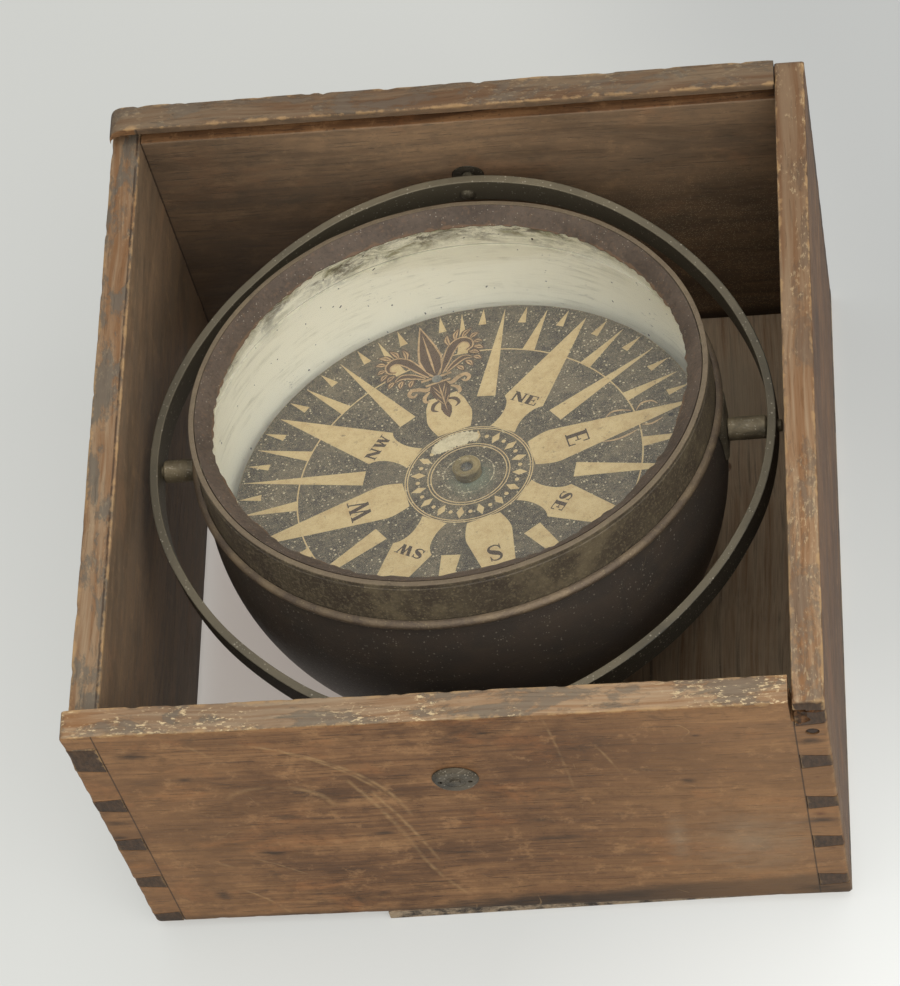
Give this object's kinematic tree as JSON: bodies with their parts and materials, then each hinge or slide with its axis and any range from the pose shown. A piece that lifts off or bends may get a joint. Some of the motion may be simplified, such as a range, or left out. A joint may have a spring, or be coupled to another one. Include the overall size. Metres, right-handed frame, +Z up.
{
  "type": "dry card compass",
  "caption": "Glazed round-bottomed bowl with a turning card on a needle, hung in a gimbal ring inside an open dovetailed wooden box with a lid groove.",
  "frame": {"origin": "under the middle of the box, on the flat underside of its bottom board", "axes": "+Z up, +X to the right board, +Y to the back board; the gimbal pins lie along Y and the bowl's trunnions along X"},
  "size_m": [0.286, 0.2942, 0.1886],
  "materials": {
    "box_wood": "worn varnish over reddish brown boards",
    "floor_wood": "bare darkened board",
    "fitting_brass": "dull patinated brass",
    "ring_brass": "dark patinated brass, dusty",
    "bowl_paint": "dark aged paint over brass",
    "collar_paint": "worn olive brown paint over brass",
    "putty": "hard painted putty",
    "glass": "clear flat glass",
    "card": "printed and faded, matte",
    "jewel": "pale polished stone",
    "steel": "dull steel",
    "lead": "dull grey casting",
    "nail_iron": "rusted"
  },
  "bodies": {
    "box": {"front_board": "box_wood", "back_board": "box_wood", "left_board": "box_wood", "right_board": "box_wood", "bottom_board": "floor_wood", "front_bearing": "fitting_brass", "back_bearing": "fitting_brass", "corner_nail_front": "nail_iron", "corner_nail_back": "nail_iron", "bottom_nail_front_left": "nail_iron", "bottom_nail_front_right": "nail_iron", "bottom_nail_back_left": "nail_iron", "bottom_nail_back_right": "nail_iron", "bottom_nail_right_front": "nail_iron", "bottom_nail_right_back": "nail_iron"},
    "gimbal": {"gimbal_ring": "ring_brass", "gimbal_pin_front": "fitting_brass", "gimbal_pin_back": "fitting_brass"},
    "bowl": {"bowl_shell": "bowl_paint", "bowl_collar": "collar_paint", "bead_ring": "fitting_brass", "glass_seat": "fitting_brass", "glass": "glass", "putty_bezel": "putty", "lug_left": "fitting_brass", "lug_right": "fitting_brass", "trunnion_left": "fitting_brass", "trunnion_right": "fitting_brass", "ballast_weight": "lead", "pivot_post": "fitting_brass", "pivot_needle": "steel"},
    "card": {"card_disc": "card", "magnet_needle": "steel", "card_cap": "fitting_brass", "cap_jewel": "jewel", "cap_nut": "fitting_brass", "card_rivet_north": "fitting_brass", "card_rivet_south": "fitting_brass"}
  },
  "joints": [
    {"name": "gimbal_swing", "type": "hinge", "parent": "box", "child": "gimbal", "pos_m": [0, 0, 0.1295], "axis": [0, 1, 0], "range_deg": [-68, 72]},
    {"name": "bowl_swing", "type": "hinge", "parent": "gimbal", "child": "bowl", "pos_m": [0, 0, 0.1295], "axis": [0.9995, 0, 0.0332], "range_deg": [-68, 92]},
    {"name": "card_turn", "type": "hinge", "parent": "bowl", "child": "card", "pos_m": [0.00039, -0.00254, 0.11778], "axis": [-0.0931, 0.2449, 0.9651], "continuous": true}
  ]
}
